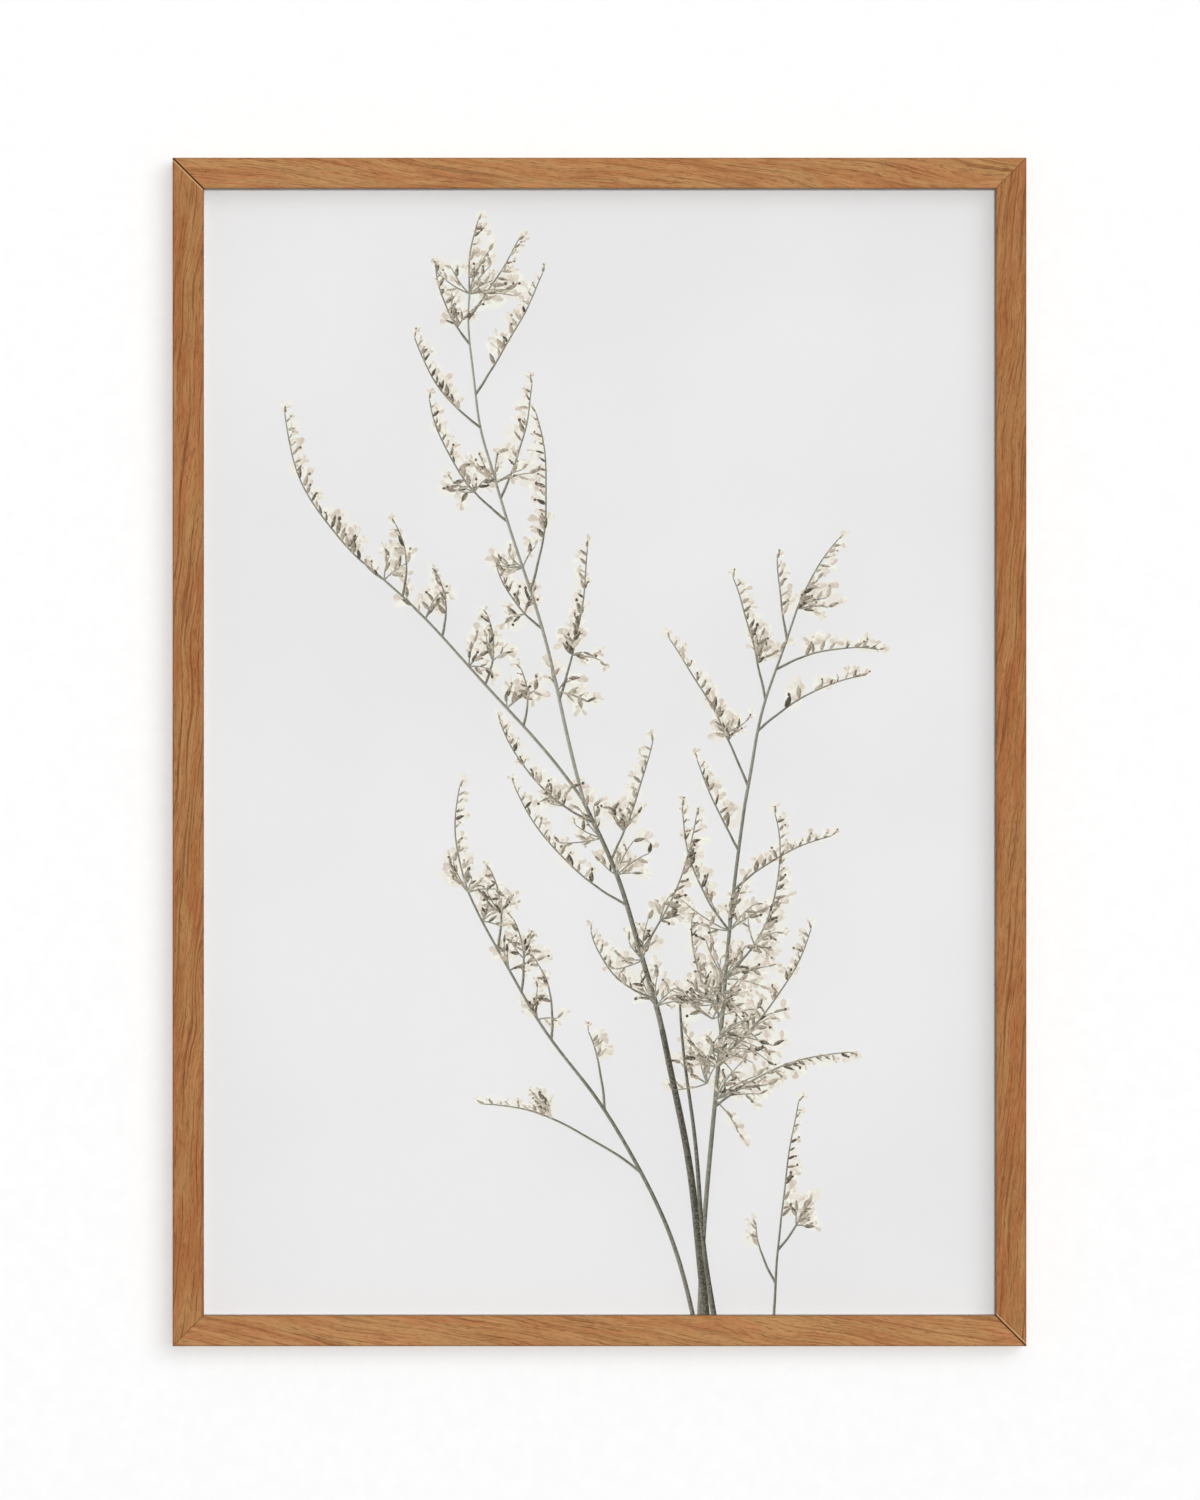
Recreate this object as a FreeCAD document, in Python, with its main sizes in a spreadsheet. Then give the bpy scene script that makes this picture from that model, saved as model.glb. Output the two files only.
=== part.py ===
import FreeCAD, Part
import math
import os

import Sketcher

# Wall frame for a flat print: four mitred hardwood rails with a rebate, and in the rebate a clear
# glazing sheet, four spacers, the print, its mount board, a filler board and a back panel.
# Ten turn buttons hold the back panel in, and two D-ring hangers carry the frame on the wall.
#
# Millimetres. +Z is up, the picture looks along -Y, and the wall is on the +Y side.
# The origin is the centre of the whole frame's box.

DRIVING = {
    # the print and its cover
    "print_width": 500.0,
    "print_height": 707.0,
    "print_thickness": 0.3,
    "lip_cover": 5.0,  # how far the lip covers each edge of the print
    "sheet_play": 1.0,  # from each edge of a sheet to the rebate's wall
    # the moulding
    "face_width": 19.0,
    "moulding_depth": 21.0,
    "arris_radius": 0.8,
    "mitre_ease": 0.25,
    "back_ease": 0.5,
    # the stack of sheets, front to back
    "glazing_thickness": 2.0,
    "spacer_depth": 3.0,
    "spacer_width": 4.0,
    "mount_thickness": 1.5,
    "filler_thickness": 3.0,
    "panel_thickness": 3.0,
    # the V-shaped nails in the mitres
    "nail_leg": 3.2,
    "nail_thickness": 0.6,
    "nail_height": 7.0,
    "nail_first": 3.0,
    "nail_pitch": 4.5,
    # the turn buttons
    "button_reach": 14.0,  # from the pivot to the toe's centre
    "button_eye_radius": 4.5,
    "button_toe_radius": 3.0,
    "button_thickness": 0.9,
    "button_hole_radius": 1.53,
    "button_edge": 0.25,
    "lift_width": 3.6,
    "lift_length": 1.2,
    "lift_height": 0.9,
    "running_gap": 0.1,
    "side_button_pitch": 250.0,
    "end_button_pitch": 300.0,
    # the pan-head screws
    "shank_radius": 1.45,
    "shank_length": 9.0,
    "head_radius": 2.8,
    "head_height": 1.8,
    "head_round": 0.9,
    "point_length": 1.0,
    "cross_length": 2.9,
    "cross_width": 0.75,
    "cross_depth": 1.1,
    # the D-ring hangers
    "wire_radius": 1.0,
    "knuckle_play": 0.08,
    "strap_thickness": 0.8,
    "strap_width": 7.4,
    "strap_length": 27.0,
    "strap_hole_radius": 1.7,
    "strap_first_hole": 5.6,
    "strap_hole_pitch": 13.4,
    "strap_end_radius": 3.0,
    "ring_half_width": 5.2,
    "ring_leg": 5.0,
    "ring_corner_radius": 1.4,
    "ring_lean": 4.0,  # degrees
    "hanger_rise": 150.0,  # from the frame's centre up to the rings' pivots
    # the wall bumpers
    "bumper_radius": 5.0,
    "bumper_height": 4.0,
    "bumper_round": 1.0,
    "bumper_rise": 22.0,  # from the frame's lower edge
}

SHEET = "Spec"
UP = FreeCAD.Vector(0, 0, 1)
DOC = FreeCAD.newDocument("wall_frame")
made = []  # every object that becomes a node


def make_sheet():
    """Writes the driving dimensions to the spreadsheet, one row and one alias each."""
    sheet = DOC.addObject("Spreadsheet::Sheet", SHEET)
    for row, (name, value) in enumerate(DRIVING.items(), start=1):
        sheet.set(f"A{row}", name)
        sheet.set(f"B{row}", str(value))
        sheet.setAlias(f"B{row}", name)
    DOC.recompute()


def cell(name):
    return f"{SHEET}.{name}"


# Expressions that several sub-parts share. FRONT to LIP_BACK are places along Y.
SIGHT_WIDTH = f"({cell('print_width')} - 2 * {cell('lip_cover')})"
SIGHT_HEIGHT = f"({cell('print_height')} - 2 * {cell('lip_cover')})"
OUTER_WIDTH = f"({SIGHT_WIDTH} + 2 * {cell('face_width')})"
OUTER_HEIGHT = f"({SIGHT_HEIGHT} + 2 * {cell('face_width')})"
REBATE_WIDTH = f"({cell('lip_cover')} + {cell('sheet_play')})"
WALL_WIDTH = f"({cell('face_width')} - {REBATE_WIDTH})"  # the wood left behind the rebate
FRONT = f"(-({cell('moulding_depth')} + {cell('bumper_height')}) / 2)"
BACK = f"({FRONT} + {cell('moulding_depth')})"
PANEL_FRONT = f"({BACK} - {cell('panel_thickness')})"
FILLER_FRONT = f"({PANEL_FRONT} - {cell('filler_thickness')})"
MOUNT_FRONT = f"({FILLER_FRONT} - {cell('mount_thickness')})"
PRINT_FRONT = f"({MOUNT_FRONT} - {cell('print_thickness')})"
SPACER_FRONT = f"({PRINT_FRONT} - {cell('spacer_depth')})"
LIP_BACK = f"({SPACER_FRONT} - {cell('glazing_thickness')})"
STILE_MIDDLE = f"({OUTER_WIDTH} / 2 - {WALL_WIDTH} / 2)"
KNUCKLE_BORE = f"({cell('wire_radius')} + {cell('knuckle_play')})"
KNUCKLE_RADIUS = f"({KNUCKLE_BORE} + {cell('strap_thickness')})"
PIVOT_LEVEL = f"({BACK} + {KNUCKLE_RADIUS})"
PAST = "1"  # how far a cutting outline runs past what it cuts

# The turn about Y, in degrees, that takes a rail's own frame to each side of the wall frame.
# In a rail's own frame X runs along the rail, and Z from its outer edge inwards.
SIDES = {"bottom": 0, "left": 90, "top": 180, "right": 270}


def side_length(side):
    return OUTER_WIDTH if side in ("top", "bottom") else OUTER_HEIGHT


def on_side(side, along, inwards):
    """Where a point of a rail's own frame comes to lie: its x and z, as expressions."""
    turn = math.radians(SIDES[side])
    c, s = round(math.cos(turn)), round(math.sin(turn))
    x = f"({s} * ({inwards} - {OUTER_WIDTH} / 2) + {c} * ({along}))"
    z = f"({c} * ({inwards} - {OUTER_HEIGHT} / 2) - {s} * ({along}))"
    return x, z


def place_on_side(obj, side, along="0", inwards="0"):
    """Turns obj from a rail's own frame to that side, and moves it along and inwards."""
    turn = FreeCAD.Rotation(FreeCAD.Vector(0, 1, 0), SIDES[side])
    obj.Placement = FreeCAD.Placement(FreeCAD.Vector(), turn)
    x, z = on_side(side, along, inwards)
    obj.setExpression("Placement.Base.x", x)
    obj.setExpression("Placement.Base.z", z)


# ---- helpers for bodies and sketches ----


def new_body(label):
    body = DOC.addObject("PartDesign::Body", label)
    body.Label = label
    made.append(body)
    return body


def new_sketch(body, plane, offset="0"):
    """A sketch on one of the body's origin planes, moved along the plane's normal by offset."""
    sketch = body.newObject("Sketcher::SketchObject", f"{body.Name}_sketch")
    support = next(o for o in body.Origin.OriginFeatures if o.Role == plane)
    sketch.AttachmentSupport = [(support, "")]
    sketch.MapMode = "FlatFace"
    sketch.setExpression("AttachmentOffset.Base.z", offset)
    return sketch


def back_sketch(body, level=BACK):
    """A sketch parallel to the frame's back, whose X is the body's X and whose Y is its Z."""
    return new_sketch(body, "XZ_Plane", f"-{level}")


def drive(sketch, kind, *where, now, value):
    """Adds a dimension of that kind at its size now, and binds it to the expression value."""
    index = sketch.addConstraint(Sketcher.Constraint(kind, *where, now))
    sketch.setExpression(f"Constraints[{index}]", value)


def pin(sketch, geometry, point, x, y):
    """Fixes a point of a geometry at the expressions x and y."""
    at = sketch.getPoint(geometry, point)
    drive(sketch, "DistanceX", -1, 1, geometry, point, now=at.x, value=x)
    drive(sketch, "DistanceY", -1, 1, geometry, point, now=at.y, value=y)


def drive_radius(sketch, geometry, value):
    drive(sketch, "Radius", geometry, now=sketch.Geometry[geometry].Radius, value=value)


def polygon(sketch, corners):
    """A closed outline of straight lines through corners, each a pair of expressions."""
    first, count = sketch.GeometryCount, len(corners)
    rough = [
        FreeCAD.Vector(math.cos(2 * math.pi * i / count), math.sin(2 * math.pi * i / count))
        for i in range(count)
    ]
    for i in range(count):
        sketch.addGeometry(Part.LineSegment(rough[i], rough[(i + 1) % count]))
    for i, (x, y) in enumerate(corners):
        after = first + (i + 1) % count
        sketch.addConstraint(Sketcher.Constraint("Coincident", first + i, 2, after, 1))
        pin(sketch, first + i, 1, x, y)


def rectangle(sketch, x_low, x_high, y_low, y_high):
    polygon(sketch, [(x_low, y_low), (x_high, y_low), (x_high, y_high), (x_low, y_high)])


def circle(sketch, x, y, radius):
    index = sketch.addGeometry(Part.Circle(FreeCAD.Vector(), UP, 1.0))
    drive_radius(sketch, index, radius)
    pin(sketch, index, 3, x, y)


def pad(body, sketch, length, side="One side", backwards=False):
    """Pads along the sketch's normal. On a back sketch the normal runs from the wall to the front."""
    feature = body.newObject("PartDesign::Pad", f"{body.Name}_pad")
    feature.Profile = sketch
    feature.SideType = side
    feature.Reversed = backwards
    feature.setExpression("Length", length)
    DOC.recompute()


def pocket(body, sketch, depth, side="One side"):
    """Cuts a back sketch towards the front, and stops if nothing was cut away."""
    before = body.Shape.Volume
    feature = body.newObject("PartDesign::Pocket", f"{body.Name}_pocket")
    feature.Profile = sketch
    feature.SideType = side
    feature.Reversed = side == "One side"
    feature.setExpression("Length", depth)
    DOC.recompute()
    if not body.Shape.Volume < before - 1e-6:
        raise RuntimeError(f"{feature.Name} cut nothing")


def dress(body, kind, edges, size, amount):
    """Adds a Fillet or Chamfer of that amount to the body's edges, named like Edge3."""
    if not edges:
        raise RuntimeError(f"{body.Label}: no edge to dress")
    base = body.Tip
    feature = body.newObject(f"PartDesign::{kind}", f"{body.Name}_{kind.lower()}")
    feature.Base = (base, edges)
    feature.setExpression(size, amount)
    DOC.recompute()


def edges_where(body, test):
    """The names of the body's edges whose bounding box passes the test."""
    found = enumerate(body.Tip.Shape.Edges, start=1)
    return [f"Edge{i}" for i, edge in found if test(edge.BoundBox)]


def edges_at(body, level, test=lambda box: True):
    """The names of the body's edges that lie in the plane y = level and pass the test."""
    return edges_where(body, lambda b: near(b.YMin, level) and near(b.YMax, level) and test(b))


def near(a, b):
    return abs(a - b) < 1e-4


# ---- the moulding ----


def buttons_on(side):
    """Where the turn buttons' pivots lie along a side."""
    if side in ("top", "bottom"):
        return [f"{sign} * {cell('end_button_pitch')} / 2" for sign in (-1, 1)]
    return [f"{step} * {cell('side_button_pitch')}" for step in (-1, 0, 1)]


def hanger_holes_on(side):
    """Where the hanger's screws lie along a stile. A stile's own X runs down on the left side."""
    if side in ("top", "bottom"):
        return []
    down = 1 if side == "left" else -1
    first = f"({cell('strap_first_hole')} - {cell('hanger_rise')})"
    return [f"{down} * ({first} + {n} * {cell('strap_hole_pitch')})" for n in (0, 1)]


def make_rail(label, side):
    """One mitred length of moulding: its section padded along the side, then cut at 45 degrees."""
    body = new_body(label)
    length, face = side_length(side), cell("face_width")
    section = new_sketch(body, "YZ_Plane")
    outline = [
        (FRONT, "0"),
        (BACK, "0"),
        (BACK, WALL_WIDTH),
        (LIP_BACK, WALL_WIDTH),
        (LIP_BACK, face),
        (FRONT, face),
    ]
    polygon(section, outline)
    pad(body, section, length, "Symmetric")

    mitres = back_sketch(body)
    for end in (-1, 1):
        far = f"{end} * ({length} / 2 + {PAST})"
        inner_end = f"{end} * ({length} / 2 - {face} - {PAST})"
        inner = f"{face} + {PAST}"
        polygon(mitres, [(far, f"-{PAST}"), (far, inner), (inner_end, inner)])
    pocket(body, mitres, f"2 * ({cell('moulding_depth')} + {PAST})", "Symmetric")

    front, back = body.Shape.BoundBox.YMin, body.Shape.BoundBox.YMax
    mitre_front = edges_at(body, front, lambda b: near(b.XLength, b.ZLength))
    dress(body, "Chamfer", mitre_front, "Size", cell("mitre_ease"))
    long_front = edges_at(body, front, lambda b: near(b.ZLength, 0))
    dress(body, "Fillet", long_front, "Radius", cell("arris_radius"))
    outer_back = edges_at(body, back, lambda b: near(b.ZMax, 0))
    dress(body, "Chamfer", outer_back, "Size", cell("back_ease"))

    pilots = back_sketch(body)
    for along in buttons_on(side) + hanger_holes_on(side):
        circle(pilots, along, f"{WALL_WIDTH} / 2", cell("shank_radius"))
    pocket(body, pilots, cell("shank_length"))

    slots = back_sketch(body)
    for end in (-1, 1):
        for x_near, x_far, low in nail_legs(length):
            high = f"{low} + {cell('nail_thickness')}"
            rectangle(slots, f"{end} * {x_far}", f"{end} * {x_near}", low, high)
    pocket(body, slots, cell("nail_height"))
    place_on_side(body, side)


def nail_legs(length):
    """The legs of the nails that run along a rail: near end, far end and lower edge of each."""
    legs = []
    for n in (0, 1):
        low = f"({cell('nail_first')} + {n} * {cell('nail_pitch')})"
        near_end = f"({length} / 2 - {low})"
        legs.append((near_end, f"({near_end} - {cell('nail_leg')})", low))
    return legs


def make_corner_nails():
    """Two nails in each mitre. Each is a right-angled V whose point faces the outer corner."""
    body = new_body("corner_v_nails")
    outline = back_sketch(body)
    steps = ["0", cell("nail_thickness"), cell("nail_leg")]
    for x_sign in (-1, 1):
        for z_sign in (-1, 1):
            for n in (0, 1):
                inset = f"({cell('nail_first')} + {n} * {cell('nail_pitch')})"
                x = [f"{x_sign} * ({OUTER_WIDTH} / 2 - {inset} - {step})" for step in steps]
                z = [f"{z_sign} * ({OUTER_HEIGHT} / 2 - {inset} - {step})" for step in steps]
                turns = [(0, 0), (2, 0), (2, 1), (1, 1), (1, 2), (0, 2)]
                polygon(outline, [(x[i], z[j]) for i, j in turns])
    pad(body, outline, cell("nail_height"))


# ---- the sheets in the rebate ----


def make_block(label, x_size, z_size, front, thickness, x_centre="0", z_centre="0"):
    block = DOC.addObject("Part::Box", label)
    block.Label = label
    block.setExpression("Length", x_size)
    block.setExpression("Width", thickness)
    block.setExpression("Height", z_size)
    block.setExpression("Placement.Base.x", f"{x_centre} - {x_size} / 2")
    block.setExpression("Placement.Base.y", front)
    block.setExpression("Placement.Base.z", f"{z_centre} - {z_size} / 2")
    made.append(block)


def make_sheets():
    width, height = cell("print_width"), cell("print_height")
    sheets = {
        "glazing_sheet": (LIP_BACK, "glazing_thickness"),
        "art_print": (PRINT_FRONT, "print_thickness"),
        "mount_board": (MOUNT_FRONT, "mount_thickness"),
        "filler_board": (FILLER_FRONT, "filler_thickness"),
        "back_panel": (PANEL_FRONT, "panel_thickness"),
    }
    for label, (front, thickness) in sheets.items():
        make_block(label, width, height, front, cell(thickness))


def make_spacers():
    """Strips behind the lip that hold the glazing off the print. The side strips fit between."""
    width, height = cell("print_width"), cell("print_height")
    strip, depth = cell("spacer_width"), cell("spacer_depth")
    between = f"({height} - 2 * {strip})"
    for name, sign in (("bottom", -1), ("top", 1)):
        middle = f"{sign} * ({height} - {strip}) / 2"
        make_block(f"{name}_spacer", width, strip, SPACER_FRONT, depth, z_centre=middle)
    for name, sign in (("left", -1), ("right", 1)):
        middle = f"{sign} * ({width} - {strip}) / 2"
        make_block(f"{name}_spacer", strip, between, SPACER_FRONT, depth, x_centre=middle)


# ---- the turn buttons and the screws ----


def button_outline(sketch):
    """Two round ends joined by tangent lines: the eye at the pivot, and the toe inwards of it."""
    eye, toe = DRIVING["button_eye_radius"], DRIVING["button_toe_radius"]
    reach = DRIVING["button_reach"]
    pivot, toe_centre = FreeCAD.Vector(), FreeCAD.Vector(0, reach, 0)
    right = math.asin((eye - toe) / reach)  # where the right line leaves both arcs
    left = math.pi - right

    def on(centre, radius, angle):
        return centre + FreeCAD.Vector(radius * math.cos(angle), radius * math.sin(angle), 0)

    eye_circle, toe_circle = Part.Circle(pivot, UP, eye), Part.Circle(toe_centre, UP, toe)
    eye_arc = sketch.addGeometry(Part.ArcOfCircle(eye_circle, left, right + 2 * math.pi))
    toe_arc = sketch.addGeometry(Part.ArcOfCircle(toe_circle, right, left))
    right_edge = Part.LineSegment(on(pivot, eye, right), on(toe_centre, toe, right))
    right_line = sketch.addGeometry(right_edge)
    left_edge = Part.LineSegment(on(toe_centre, toe, left), on(pivot, eye, left))
    left_line = sketch.addGeometry(left_edge)
    joints = [
        (eye_arc, 2, right_line, 1),
        (right_line, 2, toe_arc, 1),
        (toe_arc, 2, left_line, 1),
        (left_line, 2, eye_arc, 1),
    ]
    for joint in joints:
        sketch.addConstraint(Sketcher.Constraint("Tangent", *joint))
    drive_radius(sketch, eye_arc, cell("button_eye_radius"))
    drive_radius(sketch, toe_arc, cell("button_toe_radius"))
    pin(sketch, eye_arc, 3, "0", "0")
    pin(sketch, toe_arc, 3, "0", cell("button_reach"))


def make_turn_button(label, side, along):
    """A stamped steel catch that turns on its screw, with a lifted edge across the toe."""
    body = new_body(label)
    underside = f"({BACK} + {cell('running_gap')})"
    top = f"({underside} + {cell('button_thickness')})"
    plate = back_sketch(body, underside)
    button_outline(plate)
    pad(body, plate, cell("button_thickness"), backwards=True)

    lift = back_sketch(body, top)
    toe_end = f"({cell('button_reach')} + {cell('button_toe_radius')} / 2)"
    half = f"{cell('lift_width')} / 2"
    rectangle(lift, f"-{half}", half, f"{toe_end} - {cell('lift_length')}", toe_end)
    pad(body, lift, cell("lift_height"), backwards=True)

    rim = edges_at(body, body.Shape.BoundBox.YMax)
    dress(body, "Fillet", rim, "Radius", cell("button_edge"))

    hole = back_sketch(body, f"({top} + {PAST})")
    circle(hole, "0", "0", cell("button_hole_radius"))
    pocket(body, hole, f"{cell('button_thickness')} + 2 * {PAST}")
    place_on_side(body, side, along, f"{WALL_WIDTH} / 2")


def button_label(side, index, count):
    if count == 2:
        return f"{side}_turn_button_{('left', 'right')[index]}"
    return f"{side}_turn_button_{('lower', 'middle', 'upper')[index]}"


def make_turn_buttons():
    """A button at each pivot, named by where it is when the frame is seen from the front."""
    for side in SIDES:
        places = buttons_on(side)
        # A stile's own X runs down on the left, and a rail's runs leftwards along the top.
        if side in ("left", "top"):
            places = places[::-1]
        for index, along in enumerate(places):
            make_turn_button(button_label(side, index, len(places)), side, along)


def make_screws(label, centres, seat):
    """Pan-head screws with a cross recess, all in one node. Their heads bear at the level seat."""
    body = new_body(label)
    heads = back_sketch(body, seat)
    for x, z in centres:
        circle(heads, x, z, cell("head_radius"))
    pad(body, heads, cell("head_height"), backwards=True)
    crowns = edges_at(body, body.Shape.BoundBox.YMax)
    dress(body, "Fillet", crowns, "Radius", cell("head_round"))

    shanks = back_sketch(body, seat)
    for x, z in centres:
        circle(shanks, x, z, cell("shank_radius"))
    pad(body, shanks, f"{seat} - {BACK} + {cell('shank_length')}")
    points = edges_at(body, body.Shape.BoundBox.YMin)
    dress(body, "Chamfer", points, "Size", cell("point_length"))

    half_long, half_wide = f"{cell('cross_length')} / 2", f"{cell('cross_width')} / 2"
    for half_x, half_z in ((half_long, half_wide), (half_wide, half_long)):
        cross = back_sketch(body, f"({seat} + {cell('head_height')})")
        for x, z in centres:
            x_ends, z_ends = (f"{x} - {half_x}", f"{x} + {half_x}"), (f"{z} - {half_z}", f"{z} + {half_z}")
            rectangle(cross, *x_ends, *z_ends)
        pocket(body, cross, cell("cross_depth"))


def button_screw_centres():
    middle = f"{WALL_WIDTH} / 2"
    return [on_side(side, along, middle) for side in SIDES for along in buttons_on(side)]


def hanger_screw_centres():
    centres = []
    for sign in (-1, 1):
        for n in (0, 1):
            drop = f"({cell('strap_first_hole')} + {n} * {cell('strap_hole_pitch')})"
            centres.append((f"{sign} * {STILE_MIDDLE}", f"({cell('hanger_rise')} - {drop})"))
    return centres


# ---- the D-ring hangers ----


def place_hanger(obj, sign):
    obj.setExpression("Placement.Base.x", f"{sign} * {STILE_MIDDLE}")
    obj.setExpression("Placement.Base.z", cell("hanger_rise"))


def make_strap(label, sign):
    """A steel strap screwed to the stile, curled at its top into a knuckle round the ring's bar."""
    body = new_body(label)
    half = f"{cell('strap_width')} / 2"
    plate = back_sketch(body)
    rectangle(plate, f"-{half}", half, f"-{cell('strap_length')}", "0")
    pad(body, plate, cell("strap_thickness"), backwards=True)
    end = body.Shape.BoundBox.ZMin
    corners = edges_where(
        body, lambda b: near(b.ZMin, end) and near(b.ZMax, end) and b.YLength > b.XLength
    )
    dress(body, "Fillet", corners, "Radius", cell("strap_end_radius"))

    knuckle = new_sketch(body, "YZ_Plane")
    circle(knuckle, PIVOT_LEVEL, "0", KNUCKLE_RADIUS)
    pad(body, knuckle, cell("strap_width"), "Symmetric")
    bore = new_sketch(body, "YZ_Plane")
    circle(bore, PIVOT_LEVEL, "0", KNUCKLE_BORE)
    pocket(body, bore, f"2 * {cell('strap_width')}", "Symmetric")

    holes = back_sketch(body, f"({BACK} + {cell('strap_thickness')})")
    for n in (0, 1):
        drop = f"({cell('strap_first_hole')} + {n} * {cell('strap_hole_pitch')})"
        circle(holes, "0", f"-{drop}", cell("strap_hole_radius"))
    pocket(body, holes, cell("strap_thickness"))
    place_hanger(body, sign)


def ring_path(sketch):
    """The ring's centreline: a straight bar, two tight corners, two legs and a half-round bow."""
    half, corner = DRIVING["ring_half_width"], DRIVING["ring_corner_radius"]
    leg = DRIVING["ring_leg"]
    quarter = math.pi / 2

    def point(x, y):
        return FreeCAD.Vector(x, y, 0)

    def arc(x, y, radius, start, end):
        whole = Part.Circle(point(x, y), UP, radius)
        return sketch.addGeometry(Part.ArcOfCircle(whole, start, end))

    def line(a, b):
        return sketch.addGeometry(Part.LineSegment(a, b))

    right_bar = line(point(0, 0), point(half - corner, 0))
    right_corner = arc(half - corner, corner, corner, -quarter, 0)
    right_leg = line(point(half, corner), point(half, leg))
    bow = arc(0, leg, half, 0, 2 * quarter)
    left_leg = line(point(-half, leg), point(-half, corner))
    left_corner = arc(corner - half, corner, corner, 2 * quarter, 3 * quarter)
    left_bar = line(point(corner - half, 0), point(0, 0))
    run = [right_bar, right_corner, right_leg, bow, left_leg, left_corner, left_bar]
    for a, b in zip(run, run[1:]):
        sketch.addConstraint(Sketcher.Constraint("Tangent", a, 2, b, 1))
    sketch.addConstraint(Sketcher.Constraint("Coincident", left_bar, 2, right_bar, 1))
    pin(sketch, right_bar, 1, "0", "0")
    for bar in (right_bar, left_bar):
        sketch.addConstraint(Sketcher.Constraint("Horizontal", bar))
    for leg_line in (right_leg, left_leg):
        sketch.addConstraint(Sketcher.Constraint("Vertical", leg_line))
    pin(sketch, bow, 3, "0", cell("ring_leg"))
    drive_radius(sketch, bow, cell("ring_half_width"))
    for turn in (right_corner, left_corner):
        drive_radius(sketch, turn, cell("ring_corner_radius"))


def make_ring(label, sign):
    """The ring is turned up, and leans back towards the stile from its pivot at its body's origin."""
    body = new_body(label)
    path = new_sketch(body, "XZ_Plane")
    ring_path(path)
    wire = new_sketch(body, "YZ_Plane")
    circle(wire, "0", "0", cell("wire_radius"))
    DOC.recompute()
    pipe = body.newObject("PartDesign::AdditivePipe", f"{body.Name}_pipe")
    pipe.Profile = wire
    pipe.Spine = path
    DOC.recompute()
    lean = FreeCAD.Rotation(FreeCAD.Vector(1, 0, 0), DRIVING["ring_lean"])
    body.Placement = FreeCAD.Placement(FreeCAD.Vector(), lean)
    body.setExpression("Placement.Rotation.Angle", cell("ring_lean"))
    body.setExpression("Placement.Base.y", PIVOT_LEVEL)
    place_hanger(body, sign)


def make_bumper(label, sign):
    """A round rubber pad near a lower corner, which keeps the frame off the wall."""
    body = new_body(label)
    disc = back_sketch(body)
    circle(disc, "0", "0", cell("bumper_radius"))
    pad(body, disc, cell("bumper_height"), backwards=True)
    rim = edges_at(body, body.Shape.BoundBox.YMax)
    dress(body, "Fillet", rim, "Radius", cell("bumper_round"))
    height = f"{cell('bumper_rise')} - {OUTER_HEIGHT} / 2"
    body.setExpression("Placement.Base.x", f"{sign} * {STILE_MIDDLE}")
    body.setExpression("Placement.Base.z", height)


def build():
    make_sheet()
    make_rail("bottom_rail", "bottom")
    make_rail("top_rail", "top")
    make_rail("left_stile", "left")
    make_rail("right_stile", "right")
    make_corner_nails()
    make_sheets()
    make_spacers()
    make_turn_buttons()
    button_seat = f"({BACK} + 2 * {cell('running_gap')} + {cell('button_thickness')})"
    make_screws("turn_button_screws", button_screw_centres(), button_seat)
    for name, sign in (("left", -1), ("right", 1)):
        make_strap(f"{name}_hanger_strap", sign)
        make_ring(f"{name}_hanger_ring", sign)
        make_bumper(f"{name}_bumper", sign)
    strap_seat = f"({BACK} + {cell('strap_thickness')})"
    make_screws("hanger_screws", hanger_screw_centres(), strap_seat)
    DOC.recompute()


def check():
    """Stops if any object failed to build, or if a node's shape is null, open or invalid."""
    for obj in DOC.Objects:
        if {"Invalid", "Error"} & set(obj.State):
            raise RuntimeError(f"{obj.Label} is {obj.State}")
    for obj in made:
        if obj.Shape.isNull() or not obj.Shape.isValid() or obj.Shape.Volume <= 0:
            raise RuntimeError(f"{obj.Label} has no good shape")


def write():
    os.makedirs("parts", exist_ok=True)
    for obj in made:
        obj.Shape.exportStep(os.path.join("parts", f"{obj.Label}.step"))
        box = obj.Shape.BoundBox
        print(f"{obj.Label}: {len(obj.Shape.Solids)} solids, {obj.Shape.Volume:.1f} mm3, "
              f"{box.XLength:.2f} x {box.YLength:.2f} x {box.ZLength:.2f}")


build()
check()
write()
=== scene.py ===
"""The looks of a wooden wall picture frame: a finish for every CAD node, and the picture in it.

Every length is in metres, in the CAD's own frame: +X right, +Z up, and the front faces -Y.
The picture is a generic dried spray of this script's own design, grown from a few rules.
"""

import math
import random
from collections import namedtuple
from math import radians

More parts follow.
